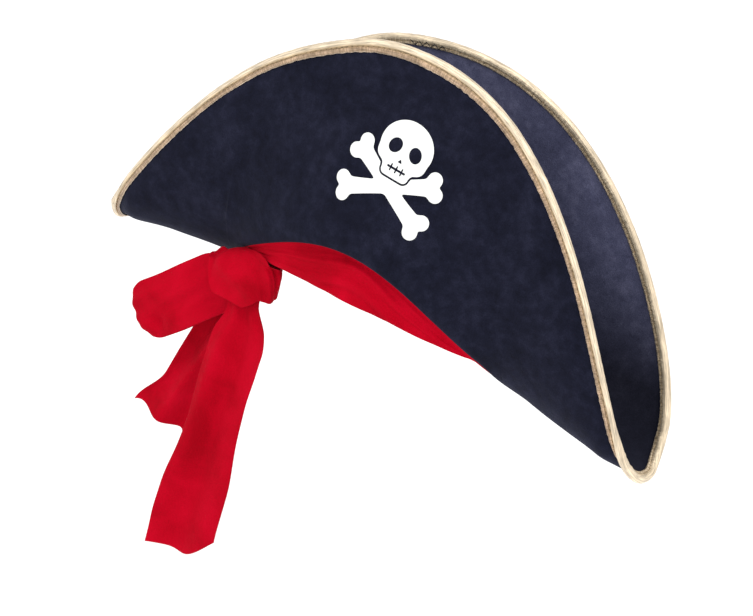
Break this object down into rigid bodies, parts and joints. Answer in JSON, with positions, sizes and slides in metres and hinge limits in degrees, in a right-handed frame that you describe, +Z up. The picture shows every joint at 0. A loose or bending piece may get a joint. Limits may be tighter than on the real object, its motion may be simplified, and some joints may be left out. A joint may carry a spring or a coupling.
{
  "type": "pirate hat",
  "caption": "Costume pirate hat with turned-up brim flaps, gold edge binding, skull print, soft crown and a red bandana with swinging tails.",
  "frame": {"origin": "centre of the head opening, at the level of the band's lower edge at the front and back", "axes": "+Z up, front of the hat towards -Y, the two tips along +X and -X, the knot on the -X side"},
  "size_m": [0.45, 0.1425, 0.4278],
  "materials": {
    "velvet": "black-navy short-pile velvet",
    "foam": "stiff felted foam sheet inside the brim",
    "gold_cloth": "pale gold metallic cloth",
    "gold_thread": "gold sewing thread",
    "black_thread": "black sewing thread",
    "lining": "thin black woven lining",
    "sweatband": "black woven sweatband",
    "red_cloth": "bright red brushed knit",
    "print": "white transfer film"
  },
  "bodies": {
    "hat": {"front_brim_outer": "velvet", "front_brim_core": "foam", "front_brim_inner": "velvet", "back_brim_outer": "velvet", "back_brim_core": "foam", "back_brim_inner": "velvet", "edge_binding": "gold_cloth", "binding_thread": "gold_thread", "keel_thread": "black_thread", "brim_seam_thread": "black_thread", "crown_side": "velvet", "crown_top": "velvet", "crown_lining": "lining", "sweatband": "sweatband", "bandana_band": "red_cloth", "bandana_knot": "red_cloth", "skull_print": "print"},
    "long_tail": {"tail_long": "red_cloth"},
    "middle_tail": {"tail_middle": "red_cloth"},
    "loop": {"bow_loop": "red_cloth"}
  },
  "joints": [
    {"name": "long_tail_swing", "type": "hinge", "parent": "hat", "child": "long_tail", "pos_m": [-0.077, -0.053, -0.027], "axis": [0, 1, 0], "range_deg": [-22, 22]},
    {"name": "middle_tail_swing", "type": "hinge", "parent": "hat", "child": "middle_tail", "pos_m": [-0.088, -0.035, -0.027], "axis": [0, 1, 0], "range_deg": [-18, 22]},
    {"name": "loop_swing", "type": "hinge", "parent": "hat", "child": "loop", "pos_m": [-0.092, -0.044, -0.023], "axis": [0, 1, 0], "range_deg": [-12, 14]}
  ]
}
